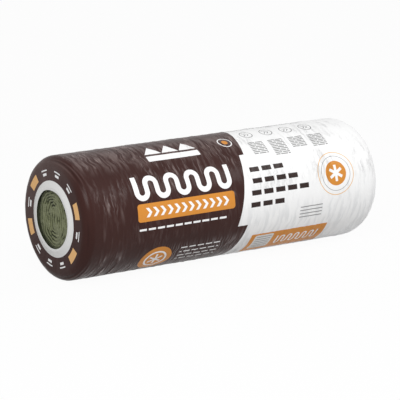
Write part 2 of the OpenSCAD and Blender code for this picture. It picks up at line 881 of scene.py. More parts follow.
@dataclass(frozen=True)
class Print:
    """The plain shapes printed on the film, as lists of marks in the order in which they are laid down.

    Centres are given along and round. A brick row is its place round, its number of bricks and its start.
    """

    panel: tuple[float, float] = (-0.061, 0.579)
    split_alongs: tuple[float, float, float] = (0.0825, 0.0635, 0.104)
    split_steps: tuple[float, float] = (0.141, 0.385)
    split_lean: float = -0.19
    bar_centre: tuple[float, float] = (-0.215, 0.288)
    disc_centre: tuple[float, float] = (-0.303, 0.477)
    target_centre: tuple[float, float] = (0.020, 0.072)
    column_start: float = 0.128
    column_pitch: float = 0.081
    column_rows: tuple[float, ...] = (8.0, 10.0, 7.0, 8.0)
    brick_rows: tuple[tuple[float, float, float], ...] = (
        (0.200, 3.0, 0.052), (0.239, 4.0, 0.052), (0.278, 5.0, 0.042), (0.317, 3.0, 0.036),
    )
    half_brick: float = 0.0188
    brick_pitch: float = 0.0485
    badge_centre: tuple[float, float] = (0.391, 0.253)
    band_centre: tuple[float, float] = (0.219, 0.489)

    def white(self, g: Graph, along: Field, round_: Field) -> Field:
        """Places the edge between the two colours.

        Args:
            g: The material's tree.
            along: Place along the roll.
            round_: Place round it, in one repeat of the print.

        Returns:
            1 on the white part.
        """
        first, second, third = self.split_alongs
        first_step, second_step = self.split_steps
        return g.place(
            Effects.split(),
            along=along, round=round_, lean=self.split_lean, first_along=first, second_along=second,
            third_along=third, first_step=first_step, second_step=second_step,
        )["White"]

    def on_brown(self) -> list[Mark]:
        """The marks of the brown part.

        Returns:
            The marks.
        """
        bar_along, bar_round = self.bar_centre
        disc, target = self.disc_centre, self.target_centre
        return [
            Peaks(Ink.WHITE, -0.200, 0.060, 3.0, 0.066, 0.032, 0.021),
            Bar(Ink.WHITE, -0.200, 0.103, 0.100, 0.0125, 0.004),
            Meander(Ink.WHITE, bar_along, 0.209, 10.0, 0.0396, 0.0125, 0.0088),
            Bar(Ink.ORANGE, bar_along, bar_round, 0.187, 0.029, 0.010),
            Chevrons(Ink.WHITE, bar_along + 0.010, bar_round, 12.0, 0.0150, 0.027, 0.8, 0.0042),
            Dashes(Ink.WHITE, bar_along - 0.014, 0.343, 10.0, 1.0, 0.0342, 0.020, 0.0135, 0.0034),
            Ring(Ink.ORANGE, *disc, 0.0, 0.060),
            Ring(Ink.WHITE, *disc, 0.038, 0.0034),
            Rays(Ink.WHITE, *disc, 6.0, 0.027, 0.0034),
            Dashes(Ink.WHITE, -0.140, 0.468, 5.0, 4.0, 0.032, 0.020, 0.0122, 0.0024, 0.5),
            Ring(Ink.WHITE, *target, 0.024, 0.0018),
            Ring(Ink.ORANGE, *target, 0.0, 0.011),
        ]

    def on_white(self) -> list[Mark]:
        """The marks of the white part.

        Returns:
            The marks.
        """
        badge = self.badge_centre
        band_along, band_round = self.band_centre
        label = (band_along - 0.100, band_round - 0.008)
        columns = [self.column_start + self.column_pitch * k for k in range(len(self.column_rows))]
        return [
            Dashes(Ink.GREY, 0.240, -0.0365, 9.0, 4.0, 0.034, 0.0085, 0.0155, 0.0027, 0.4),
            *(Ring(Ink.GREY, along, 0.040, 0.022, 0.0016) for along in columns),
            *(Chevrons(Ink.GREY, along + 0.003, 0.040, 2.0, 0.0110, 0.012, 0.9, 0.0014) for along in columns),
            *(self.column(along, rows) for along, rows in zip(columns, self.column_rows)),
            *(self.bricks(*row) for row in self.brick_rows),
            Ring(Ink.PALE_ORANGE, *badge, 0.073, 0.0013),
            Ring(Ink.GREY, *badge, 0.059, 0.0009),
            Ring(Ink.ORANGE, *badge, 0.0, 0.042),
            Rays(Ink.WHITE, *badge, 6.0, 0.028, 0.0050),
            Dashes(Ink.GREY, 0.286, 0.370, 1.0, 4.0, 0.20, 0.0125, 0.046, 0.0018),
            Bar(Ink.ORANGE, band_along, band_round, 0.156, 0.056, 0.003),
            Bar(Ink.PALE_GREY, *label, 0.038, 0.040, 0.006),
            Dashes(Ink.GREY, *label, 1.0, 6.0, 0.20, 0.012, 0.031, 0.0018),
            Meander(Ink.WHITE, band_along + 0.045, band_round - 0.006, 12.0, 0.0150, 0.0130, 0.0029),
        ]

    @staticmethod
    def column(along: float, rows: float) -> Dashes:
        """A column of small dashes, with its top row always at one height."""
        return Dashes(Ink.GREY, along, 0.090 + 0.0036 * rows, 2.0, rows, 0.031, 0.0072, 0.0138, 0.0020, 0.35)

    def bricks(self, round_: float, count: float, start: float) -> Dashes:
        """A row of dark bricks.

        Args:
            round_: The row's place round the roll.
            count: Its number of bricks.
            start: Where it starts along the roll.

        Returns:
            The row.
        """
        middle = start + self.half_brick + self.brick_pitch * (count - 1) / 2
        return Dashes(Ink.DARK, middle, round_, count, 1.0, self.brick_pitch, 0.05, self.half_brick, 0.0084)

    def marks(self) -> list[Mark]:
        """All the marks, in the order in which they are laid down."""
        return self.on_brown() + self.on_white()


@dataclass(frozen=True)
class FilmMaps:
    """What changes over the film.

    Place, creases and grain are the outputs of the groups of those names, and clouds are the grain's.
    Relief is the height of the modelled creases in millimetres. Calm is 1 where the fine creases show in full
    and 0 where the film is drawn flat. Tops are those of the fine creases, stronger on the upper side; they
    carry painted sheen on the brown and painted grey shade on the white. Lines are the pale lines low on the
    front: bumps and painted glints at once.
    """

    place: dict[str, Field]
    creases: dict[str, Field]
    grain: dict[str, Field]
    relief: Field
    clouds: Field
    calm: Field
    tops: Field
    lines: Field


@dataclass(frozen=True)
class FilmFinish:
    """The finish of one zone of the film. Pairs are where a mask starts and where it is full. Its colour
    holds painted light: sheen on the crease tops, on the upper band and on the front end's upper side, glints
    low on the front, and shade in the grooves and on the white's creases.
    """

    name: str
    base: Ink
    layout: Print
    printed: bool = False
    end_blocks: bool = False
    least_roughness: float = 0.32
    roughness_spread: float = 0.12
    top_roughness: float = 0.10
    specular: float = 0.05
    coat: float = 0.15
    coat_roughness: float = 0.20
    crease_width: float = 0.0044
    crease_length: float = 0.055
    crease_start: tuple[float, float] = (-0.01, 0.05)
    crease_bump: float = 1.1
    grain_size: float = 0.0009
    grain_bump: float = 0.04
    cloud_size: float = 0.09
    cloud_rise: tuple[float, float] = (0.3, 0.7)
    brown_clouds: float = 0.86
    white_clouds: float = 0.97
    base_clouds: float = 0.96
    # Painted sheen: the pale colour laid on the crease tops in place of their reflections, stronger on the
    # upper side.
    haze: Colour = (0.235, 0.178, 0.168, 1.0)
    haze_share: float = 0.90
    upper_fade: tuple[float, float] = (0.16, 0.06)
    upper_tops_gain: float = 0.85
    top_reach: float = 0.035
    # Painted sheen on the upper band of the barrel, along the streaks.
    upper_sheen_share: float = 0.42
    upper_sheen_rise: tuple[float, float] = (0.005, 0.045)
    upper_sheen_fall: tuple[float, float] = (0.155, 0.085)
    # Painted grey shade on the white's crease tops.
    grey_shade: Colour = (0.62, 0.63, 0.64, 1.0)
    grey_shade_share: float = 0.20
    # Painted glints: the pale lines low on the front, which also bump the film.
    line_colour: Colour = (0.64, 0.60, 0.60, 1.0)
    line_share: float = 0.60
    fine_line_share: float = 0.5
    crest_rise: tuple[float, float] = (0.9, 2.3)
    line_rise: tuple[float, float] = (0.40, 0.47)
    line_fall: tuple[float, float] = (0.64, 0.57)
    line_start: float = 0.015
    # Painted grey shade on the white, in patches and streaks lower down.
    patch_shade_share: float = 0.40
    patch_shade_rise: tuple[float, float] = (0.16, 0.30)
    streak_share: float = 0.48
    streak_rise: tuple[float, float] = (0.29, 0.38)
    # Painted highlight on the raised creases, and painted shade in the sunk grooves, from the modelled
    # relief.
    top_share: float = 0.28
    top_rise: tuple[float, float] = (0.4, 2.4)
    groove_share: float = 0.45
    groove_rise: tuple[float, float] = (-0.1, -1.2)
    groove_shade: float = 0.4
    smooth_band: tuple[float, float] = (0.29, 0.43)
    band_edge: float = 0.03
    band_creasing: float = 0.2
    # Painted sheen on the upper side of the front end.
    bloom_share: float = 0.0
    bloom_turn: float = math.radians(130.0)
    bloom_rise: tuple[float, float] = (-0.02, 0.185)
    bloom_start: tuple[float, float] = (-0.580, -0.592)

    def material(self, sizes: RollSizes, cut_angle: float) -> bpy.types.Material:
        """Builds the material.

        Args:
            sizes: The roll's sizes.
            cut_angle: The turn at which the film's outer layer ends, in radians.

        Returns:
            The material.
        """
        g = Surface(self.name)
        maps = self.maps(g, sizes, cut_angle)
        roughness = maps.grain["Clouds"] * self.roughness_spread + self.least_roughness
        height = maps.creases["Height"] * maps.calm + maps.lines + maps.grain["Grain"] * self.grain_bump
        normal = g.bump(height, self.crease_bump * MM, 1.0)
        g.fill(g.shader, {
            "Base Color": self.colour(g, maps),
            "Roughness": maps.tops * self.top_roughness + roughness,
            "Specular IOR Level": self.specular,
            "Coat Weight": self.coat,
            "Coat Roughness": self.coat_roughness,
            "Normal": normal,
            "Coat Normal": normal,
        })
        return g.material

    def maps(self, g: Surface, sizes: RollSizes, cut_angle: float) -> FilmMaps:
        """Places the groups and works out the masks that several parts of the finish use.

        Args:
            g: The material.
            sizes: The roll's sizes.
            cut_angle: The turn at which the film's outer layer ends, in radians.

        Returns:
            The masks.
        """
        point = g.point()
        panel_start, panel_end = self.layout.panel
        place = g.place(
            Effects.roll_place(),
            point=point, axis_height=sizes.radius, radius=sizes.radius, cut_angle=cut_angle,
            panel_start=panel_start, panel_end=panel_end,
        )
        along, round_ = place["Along"], place["Round"]
        creases = g.place(
            Effects.film_creases(),
            along=along, round=round_, crease_width=self.crease_width, crease_length=self.crease_length,
        )
        grain = g.place(
            Effects.surface_grain(), point=point, grain_size=self.grain_size, cloud_size=self.cloud_size,
        )
        relief = g.stored(PrintedFilm.RELIEF, "Fac")
        barrel_start = sizes.barrel_start
        # The upper side: there the crease tops count more in the painted sheen and shade, and the creases
        # reach nearer the shoulder.
        upper = g.ease(round_, *self.upper_fade)
        crease_start, crease_full = self.crease_start
        calm = g.ease(along + upper * self.top_reach, barrel_start + crease_start, barrel_start + crease_full)
        calm = calm * self.off_band(g, round_)
        # Pale lines low on the front: bumps and painted glints at once.
        low = g.ease(round_, *self.line_rise) * g.ease(round_, *self.line_fall)
        low = low * g.ease(along, barrel_start - self.line_start, barrel_start + self.line_start)
        lines = g.most(creases["Lines"] * self.fine_line_share, g.ease(relief, *self.crest_rise)) * low
        return FilmMaps(
            place=place, creases=creases, grain=grain, relief=relief,
            clouds=g.ramp(grain["Clouds"], *self.cloud_rise),
            calm=calm,
            tops=creases["Tops"] * calm * (upper * self.upper_tops_gain + 1.0),
            lines=lines,
        )

    def off_band(self, g: Surface, round_: Field) -> Field:
        """How much of the creases is left, by the distance round: little of them on the smooth band.

        Args:
            g: The material.
            round_: Place round the roll.

        Returns:
            The share.
        """
        start, end = self.smooth_band
        before = g.ease(round_, start, start - self.band_edge)
        after = g.ease(round_, end, end + self.band_edge)
        return g.most(before, after) * (1.0 - self.band_creasing) + self.band_creasing

    def colour(self, g: Surface, maps: FilmMaps) -> Field:
        """The zone's colour, with its print.

        Args:
            g: The material.
            maps: What changes over the film.

        Returns:
            The colour.
        """
        along, panel = maps.place["Along"], maps.place["Panel"]
        if self.printed:
            made = g.blend(self.layout.white(g, along, panel), self.brown(g, maps), self.white(g, maps))
            for mark in self.layout.marks():
                made = g.blend(mark.mask(g, along, panel), made, mark.ink.value)
        elif self.base == Ink.BROWN:
            made = self.brown(g, maps)
        elif self.base == Ink.WHITE:
            made = self.white(g, maps)
        else:
            made = g.blend(maps.clouds, self.base.value, self.base.shaded(self.base_clouds))
        return EndBlocks().printed(g, maps.place, made) if self.end_blocks else made

    def brown(self, g: Surface, maps: FilmMaps) -> Field:
        """The brown print, with painted sheen on the crease tops and the upper band, painted shade in the
        grooves, and painted glints low on the front.

        Args:
            g: The material.
            maps: What changes over the film.

        Returns:
            The colour.
        """
        round_ = maps.place["Round"]
        # Painted sheen on the upper band, along the streaks.
        smears = g.ease(round_, *self.upper_sheen_rise) * g.ease(round_, *self.upper_sheen_fall) * maps.calm
        smears = smears * maps.creases["Streaks"] * self.upper_sheen_share
        # Painted highlight on the raised creases, and painted shade in the grooves.
        raised = g.ramp(maps.relief, *self.top_rise) * self.top_share
        sunk = g.ramp(maps.relief, *self.groove_rise) * self.groove_share
        made = g.blend(maps.clouds, Ink.BROWN.value, Ink.BROWN.shaded(self.brown_clouds))
        # Painted sheen and painted highlight on the crease tops, the raised creases and the upper band.
        made = g.blend(g.most(maps.tops * self.haze_share, raised, smears), made, self.haze)
        made = g.blend(sunk, made, Ink.BROWN.shaded(self.groove_shade))
        # Painted glints low on the front.
        made = g.blend(maps.lines * self.line_share, made, self.line_colour)
        return g.blend(self.bloom(g, maps.place), made, self.haze) if self.bloom_share else made

    def white(self, g: Surface, maps: FilmMaps) -> Field:
        """The white print, with painted grey shade on its creases and in patches and streaks lower down.

        Args:
            g: The material.
            maps: What changes over the film.

        Returns:
            The colour.
        """
        round_ = maps.place["Round"]
        # Painted grey shade: in patches and streaks lower down, and on the crease tops.
        patch_shade = maps.creases["Zoned Streaks"] * g.ease(round_, *self.patch_shade_rise) * self.patch_shade_share
        streaked = maps.creases["Streaks"] * g.ease(round_, *self.streak_rise) * self.streak_share
        made = g.blend(maps.clouds, Ink.WHITE.value, Ink.WHITE.shaded(self.white_clouds))
        made = g.blend(maps.tops * self.grey_shade_share, made, self.grey_shade)
        return g.blend(g.most(patch_shade, streaked), made, self.grey_shade)

    def bloom(self, g: Surface, place: dict[str, Field]) -> Field:
        """Painted sheen on the upper side of an end face: a pale patch in place of its reflection.

        Args:
            g: The material.
            place: The roll place group's outputs.

        Returns:
            How much of the painted sheen colour lies on the film.
        """
        reach = place["Out"] * g.math("COSINE", place["Turn"] - self.bloom_turn)
        flat = g.ease(place["Along"], *self.bloom_start)
        return g.ease(reach, *self.bloom_rise) * self.bloom_share * flat


@dataclass(frozen=True)
class EndBlocks:
    """The blocks printed round the opening of the front end, twelve places round it.

    A small bar is its shift outward, half its size round the axis and half its size outward.
    """

    first_turn: float = math.radians(20.0)
    step: float = math.radians(30.0)
    centre_out: float = 0.151
    half_tangent: float = 0.026
    half_out: float = 0.0135
    clearance: float = 0.010
    half_clear_out: float = 0.05
    small_bars: tuple[tuple[float, float, float], ...] = ((-0.0066, 0.011, 0.0042), (0.0062, 0.0170, 0.0021))

    def blocks(self, g: Graph, place: dict[str, Field], turns: Sequence[float], period: float,
               shift: float, half_tangent: float, half_out: float) -> Field:
        """Masks blocks that repeat round the axis.

        Args:
            g: The material's tree.
            place: The roll place group's outputs.
            turns: Turns of the first blocks' centres.
            period: Turn from one block to its next copy.
            shift: How far outside the ring's middle their centres lie.
            half_tangent: Half a block's size round the axis.
            half_out: Half its size outward.

        Returns:
            1 on the blocks.
        """
        centre_out = self.centre_out + shift
        outward = place["Out"] - centre_out
        masks = []
        for turn in turns:
            beside = g.wrap(place["Turn"] - turn, period) * centre_out
            masks.append(g.inside(g.box(beside, outward, half_tangent, half_out)))
        return g.most(*masks)

    def printed(self, g: Graph, place: dict[str, Field], colour: Field) -> Field:
        """Prints the orange blocks and the small white bars between them.

        Args:
            g: The material's tree.
            place: The roll place group's outputs.
            colour: The colour under them.

        Returns:
            The printed colour.
        """
        turns = (self.first_turn, self.first_turn - 2 * self.step)
        orange = self.blocks(g, place, turns, math.pi, 0.0, self.half_tangent, self.half_out)
        half_clear = self.half_tangent + self.clearance
        clear = self.blocks(g, place, turns, math.pi, 0.0, half_clear, self.half_clear_out)
        bars = g.most(*(self.blocks(g, place, turns[:1], self.step, *bar) for bar in self.small_bars))
        return g.blend(orange, g.blend(bars * (1.0 - clear), colour, Ink.WHITE.value), Ink.PALE_ORANGE.value)


@dataclass(frozen=True)
class WoolFinish:
    """The finish of the wool: matt, fibrous, with painted shade in its creases and pits, on one side and at
    the rim of each end.
    """

    name: str = "mineral_wool"
    light: Colour = (0.262, 0.276, 0.158, 1.0)
    middle: Colour = (0.131, 0.142, 0.074, 1.0)
    # The colour of the painted shade.
    dark: Colour = (0.026, 0.032, 0.013, 1.0)
    fibres_on: float = 60.0
    fibres_across: float = 900.0
    grain_size: float = 0.0011
    cloud_size: float = 0.014
    light_rise: tuple[float, float] = (0.38, 0.72)
    grain_rise: tuple[float, float] = (0.60, 0.36)
    dark_rise: tuple[float, float] = (0.15, 0.95)
    bump: float = 0.9 * MM

    def material(self) -> bpy.types.Material:
        """Builds the material.

        Returns:
            The material.
        """
        g = Surface(self.name)
        # The lay's third part, called depth here, is the painted shade of the wool's ends.
        on, across, depth = g.parts(g.stored(WoundWool.LAY, "Vector"))
        fibres = g.noise(g.vector(on * self.fibres_on, across * self.fibres_across), 1.0, 3.0, 0.6)
        grain = g.place(
            Effects.surface_grain(), point=g.point(), grain_size=self.grain_size, cloud_size=self.cloud_size,
        )
        tone = fibres * 0.6 + grain["Clouds"] * 0.5
        colour = g.blend(g.ramp(tone, *self.light_rise), self.middle, self.light)
        colour = g.blend(g.ramp(grain["Grain"], *self.grain_rise), colour, self.middle)
        g.fill(g.shader, {
            "Base Color": g.blend(g.ease(depth, *self.dark_rise), colour, self.dark),
            "Roughness": 0.95,
            "Specular IOR Level": 0.15,
            "Sheen Weight": 0.12,
            "Sheen Roughness": 0.6,
            "Normal": g.bump(grain["Grain"] * 0.7 + fibres, self.bump, 0.9),
        })
        return g.material


@dataclass(frozen=True)
class Creasing:
    """Many short creases that run round the barrel, each a low ridge with its own place, length and lean."""

    seed: int = 11
    count: int = 4200
    half_widths: tuple[float, float] = (0.0024, 0.0056)
    half_lengths: tuple[float, float] = (0.018, 0.055)
    heights: tuple[float, float] = (-0.35 * MM, 0.90 * MM)
    lean: float = 0.06
    drawn_widths: float = 2.2

    def heights_on(self, runs: np.ndarray, rounds: np.ndarray, low: float, high: float) -> np.ndarray:
        """Adds up the creases on a grid.

        Args:
            runs: The grid's distances along the film, which rise.
            rounds: Its distances round the roll, which rise.
            low: Least distance along of a crease's middle.
            high: Greatest one.

        Returns:
            Heights, one row for each run and one column for each round.
        """
        pick = np.random.default_rng(self.seed)
        total = np.zeros((len(runs), len(rounds)))
        middles = pick.uniform(low, high, self.count)
        places = pick.uniform(rounds[0], rounds[-1], self.count)
        widths = pick.uniform(*self.half_widths, self.count)
        lengths = pick.uniform(*self.half_lengths, self.count)
        tall = pick.uniform(*self.heights, self.count)
        leans = pick.normal(0.0, self.lean, self.count)
        for run, place, width, length, height, lean in zip(middles, places, widths, lengths, tall, leans):
            reach = self.drawn_widths * width + abs(lean) * length
            i0, i1 = np.searchsorted(runs, (run - reach, run + reach))
            j0, j1 = np.searchsorted(rounds, (place - length, place + length))
            if i0 == i1 or j0 == j1:
                continue
            on = rounds[j0:j1] - place
            beside = (runs[i0:i1, None] - run - lean * on[None, :]) / width
            fading = np.cos(on * math.pi / 2 / length)[None, :] ** 2
            total[i0:i1, j0:j1] += height * np.exp(-beside * beside) * fading
        return total


@dataclass(frozen=True)
class Fold:
    """One long fold in the film, from its middle: place, half sizes, height and lean."""

    run: float
    turn: float
    half_width: float
    half_length: float
    height: float
    lean: float

    def heights_on(self, runs: np.ndarray, rounds: np.ndarray, radius: float) -> np.ndarray:
        """The fold's heights on a grid.

        Args:
            runs: The grid's distances along the film.
            rounds: Its distances round the roll.
            radius: The roll's radius.

        Returns:
            Heights, one row for each run and one column for each round.
        """
        on = rounds - math.radians(self.turn) * radius
        beside = (runs[:, None] - self.run - self.lean * on[None, :]) / self.half_width
        fading = np.cos(np.clip(on / self.half_length, -1.0, 1.0) * math.pi / 2) ** 2
        return self.height * np.exp(-beside * beside) * fading[None, :]


@dataclass
class PrintedFilm:
    """The shrunk film sleeve: one closed thin skin with creases, a lap and a hand-cut opening at each end.

    Turns are in degrees, from the top toward the front. A flat of an opening is its turn, half its width in
    degrees and its depth. That depth and the heights of the gathers, over the front and the back shoulder,
    are in millimetres. A fade is where a shape starts and where it is full, from an end of the barrel.
    """

    RELIEF: ClassVar[str] = "relief"

    sizes: RollSizes
    layout: Print = field(default_factory=Print)
    creasing: Creasing = field(default_factory=Creasing)
    station_gap: float = 0.00195
    straight_half: float = 0.3
    columns: int = 122
    inner_row_step: int = 18
    skin: float = 0.8 * MM
    deepest: float = -0.7 * MM
    lump_size: tuple[float, float] = (0.16, 0.14)
    lump_height: float = 0.55 * MM
    crease_fade: float = 0.05
    crease_overrun: float = 0.03
    crease_drop: tuple[float, float] = (0.03, 0.004)
    gathers: tuple[int, ...] = (17, 23, 29, 37, 41)
    gather_heights: tuple[float, float] = (0.22, 0.55)
    gather_start: float = 0.02
    front_gather_fade: tuple[float, float] = (0.03, -0.01)
    back_gather_fade: tuple[float, float] = (-0.03, 0.05)
    gather_sway: float = 0.35
    lap_turns: tuple[float, float] = (-140.0, -123.0)
    lap_edge: float = 0.15
    lap_fade: float = 3.0
    lap_end_fade: float = 0.01
    lap_rise: float = 0.5 * MM
    opening_waves: tuple[int, ...] = (3, 5, 8, 13)
    opening_wave_sizes: tuple[float, float] = (0.3, 1.0)
    opening_reach: float = 0.008
    opening_flats: tuple[tuple[float, float, float], ...] = (
        (2.0, 34.0, 2.6), (52.0, 22.0, 1.6), (218.0, 40.0, 2.4),
    )
    shoulder_folds: tuple[Fold, ...] = (
        Fold(0.094, 20.0, 0.0040, 0.130, 1.6 * MM, 0.07),
        Fold(0.101, 22.0, 0.0030, 0.150, -2.4 * MM, 0.09),
        Fold(0.108, 24.0, 0.0036, 0.150, 2.0 * MM, 0.11),
        Fold(0.115, 30.0, 0.0028, 0.110, -1.8 * MM, 0.14),
        Fold(0.122, 34.0, 0.0034, 0.090, 1.4 * MM, 0.15),
        Fold(0.095, -42.0, 0.0034, 0.090, 1.0 * MM, -0.08),
        Fold(0.101, 150.0, 0.0032, 0.120, -1.8 * MM, -0.09),
        Fold(0.108, 148.0, 0.0034, 0.120, 1.8 * MM, -0.10),
        Fold(0.115, 143.0, 0.0028, 0.090, -1.4 * MM, -0.12),
        Fold(0.122, 140.0, 0.0034, 0.090, 1.4 * MM, -0.13),
        Fold(0.103, 95.0, 0.0040, 0.080, -1.0 * MM, 0.03),
    )
    low_folds: tuple[Fold, ...] = (
        Fold(0.1335, 146.0, 0.0034, 0.060, 1.5 * MM, -0.22),
        Fold(0.1490, 142.0, 0.0040, 0.055, 1.4 * MM, -0.20),
        Fold(0.1650, 150.0, 0.0030, 0.040, 1.3 * MM, -0.10),
        Fold(0.1740, 124.0, 0.0034, 0.040, 0.8 * MM, -0.25),
        Fold(0.1830, 145.0, 0.0028, 0.055, -1.8 * MM, -0.10),
        Fold(0.1905, 145.0, 0.0032, 0.060, 2.8 * MM, -0.10),
        Fold(0.2180, 125.0, 0.0038, 0.045, 0.6 * MM, -0.25),
        Fold(0.2250, 146.0, 0.0028, 0.060, -2.2 * MM, -0.05),
        Fold(0.2325, 146.0, 0.0030, 0.065, 2.8 * MM, -0.05),
        Fold(0.2480, 152.0, 0.0030, 0.035, 1.5 * MM, -0.10),
        Fold(0.2660, 148.0, 0.0032, 0.050, 1.9 * MM, -0.12),
        Fold(0.2950, 147.0, 0.0050, 0.035, 1.5 * MM, -0.30),
        Fold(0.3110, 150.0, 0.0034, 0.040, 1.9 * MM, -0.10),
    )
    seed: int = 5

    def stretches(self) -> list[tuple[Zone, np.ndarray]]:
        """The outline of the outer side, from the front opening to the back one.

        Returns:
            Each stretch's zone and its points, (along, out), from its start up to the next one's start.
        """
        s = self.sizes
        face = s.face_half_length
        front, back = Zone.FRONT_FACE, Zone.BACK_FACE
        return [
            (Zone.MARGIN, self.straight((-s.half_length, s.opening_radius), (-s.half_length, s.lip_radius))),
            (Zone.MARGIN, self.straight((-s.half_length, s.lip_radius), (-face, s.margin_radius))),
            (front, self.straight((-face, s.margin_radius), (-face, s.radius - s.front_shoulder))),
            (front, self.arc(s.barrel_start, s.front_shoulder, math.pi, math.pi / 2)),
            (Zone.BARREL, self.straight((s.barrel_start, s.radius), (s.barrel_end, s.radius))),
            (back, self.arc(s.barrel_end, s.back_shoulder, math.pi / 2, 0.0)),
            (back, self.straight((face, s.radius - s.back_shoulder), (face, s.margin_radius))),
            (Zone.MARGIN, self.straight((face, s.margin_radius), (s.half_length, s.lip_radius))),
            (Zone.MARGIN, self.straight((s.half_length, s.lip_radius), (s.half_length, s.opening_radius))),
        ]

    def straight(self, start: tuple[float, float], end: tuple[float, float]) -> np.ndarray:
        """Points on a straight stretch, without its last one.

        Args:
            start: Its first point.
            end: Its last point.

        Returns:
            The points.
        """
        count = max(2, math.ceil(math.dist(start, end) / self.station_gap))
        share = np.arange(count)[:, None] / count
        return np.array(start) * (1 - share) + np.array(end) * share

    def arc(self, centre_along: float, radius: float, start: float, end: float) -> np.ndarray:
        """Points on a shoulder, without its last one.

        Args:
            centre_along: Where its centre lies along the roll.
            radius: Its radius.
            start: Its first angle, from +X toward outward.
            end: Its last angle.

        Returns:
            The points.
        """
        count = math.ceil(abs(end - start) * radius / self.station_gap)
        turn = start + (end - start) * np.arange(count) / count
        out = self.sizes.radius - radius + radius * np.sin(turn)
        return np.stack([centre_along + radius * np.cos(turn), out], 1)

    def turns(self) -> np.ndarray:
        """The grid's columns, with one on each edge of the lap.

        Returns:
            The turns in degrees, from the lap's free edge once round.
        """
        low, lap_end = self.lap_turns
        marks = [low, low + self.lap_edge, lap_end, low + 360.0]
        made = [low]
        for start, end in zip(marks, marks[1:]):
            count = max(1, round((end - start) / 360.0 * self.columns))
            made.extend(start + (end - start) * (k + 1) / count for k in range(count))
        return np.array(made[:-1])

    def shape(self, outline: np.ndarray, turns: np.ndarray) -> tuple[np.ndarray, np.ndarray]:
        """How far each point of the outer side stands out from the plain outline.

        Args:
            outline: The outline's points.
            turns: The columns.

        Returns:
            Heights, one row for each point of the outline, and the height of the creases alone.
        """
        s = self.sizes
        runs = np.concatenate([[0.0], np.cumsum(np.hypot(*np.diff(outline, axis=0).T))])
        along, out = outline.T
        rounds = np.radians(turns) * s.radius
        barrel_start, barrel_end = s.barrel_start, s.barrel_end
        first, last = np.searchsorted(along, (barrel_start, barrel_end))
        crease_low, crease_full = self.crease_drop
        waves = self.creasing.heights_on(runs, rounds, runs[first], runs[last] + self.crease_overrun)
        waves *= smooth_step(along, barrel_start, barrel_start + self.crease_fade)[:, None]
        waves *= smooth_step(out, s.radius - crease_low, s.radius - crease_full)[:, None]
        lump_on, lump_round = self.lump_size
        lumps = Noise(self.seed).layered(runs[:, None] / lump_on, rounds[None, :] / lump_round, 2)
        lumps *= smooth_step(out, s.margin_radius, s.radius)[:, None] * self.lump_height
        waves += sum(fold.heights_on(runs, rounds, s.radius) for fold in self.shoulder_folds + self.low_folds)
        pleats = self.pleats(np.radians(turns), runs)
        (front_from, front_full), (back_from, back_full) = self.front_gather_fade, self.back_gather_fade
        front_height, back_height = self.gather_heights
        front = smooth_step(along, barrel_start + front_from, barrel_start + front_full) * front_height
        back = smooth_step(along, barrel_end + back_from, barrel_end + back_full) * back_height
        off_lip = smooth_step(out, s.lip_radius, s.margin_radius + self.gather_start)
        pleats *= (off_lip * (front + back))[:, None] * MM
        total = waves + lumps + pleats + self.lap(turns, along)
        return np.maximum(total, self.deepest), waves

    def pleats(self, turns: np.ndarray, runs: np.ndarray) -> np.ndarray:
        """Soft gathers that run over the shoulders, out from the openings.

        Args:
            turns: The columns, in radians.
            runs: The distances along the film.

        Returns:
            Heights, mostly from -1 to 1, one row for each run.
        """
        pick = np.random.default_rng(self.seed + 1)
        total = np.zeros((len(runs), len(turns)))
        for number in self.gathers:
            sway = self.gather_sway * np.sin(runs * pick.uniform(14.0, 30.0) + pick.uniform(0, 6))
            total += np.sin(number * turns[None, :] + sway[:, None] * number * 0.1 + pick.uniform(0, 6.28))
        return total / 3.0

    def lap(self, turns: np.ndarray, along: np.ndarray) -> np.ndarray:
        """The rise where the film laps over itself: a step at its free edge and a soft start.

        Args:
            turns: The columns in degrees.
            along: The outline's distances along.

        Returns:
            Heights, one row for each point of the outline.
        """
        low, high = self.lap_turns
        start, end, fade = self.sizes.barrel_start, self.sizes.barrel_end, self.lap_end_fade
        round_share = smooth_step(turns, low, low + self.lap_edge)
        round_share *= smooth_step(turns, high, high - self.lap_fade)
        along_share = smooth_step(along, start, start + fade) * smooth_step(along, end, end - fade)
        return self.lap_rise * along_share[:, None] * round_share[None, :]

    def opening_wave(self, out: np.ndarray, turns: np.ndarray, end: End) -> np.ndarray:
        """How the cut edge of an opening strays from a true circle.

        Args:
            out: The outline's radii.
            turns: The columns, in radians.
            end: Which end it is, which picks the pattern.

        Returns:
            Changes of radius, one row for each point of the outline.
        """
        pick = np.random.default_rng(self.seed + 40 + end.value)
        wave = np.zeros_like(turns)
        for number in self.opening_waves:
            size = pick.uniform(*self.opening_wave_sizes)
            wave += size * np.sin(number * turns + pick.uniform(0, 6.28)) / number**0.6
        for middle, half, depth in self.opening_flats:
            off = np.abs((turns - math.radians(middle) + math.pi) % (2 * math.pi) - math.pi)
            wave = wave - depth * np.cos(np.clip(off / math.radians(half), 0.0, 1.0) * math.pi / 2) ** 2
        near = smooth_step(out, self.sizes.lip_radius + self.opening_reach, self.sizes.opening_radius)
        return near[:, None] * wave[None, :] * MM

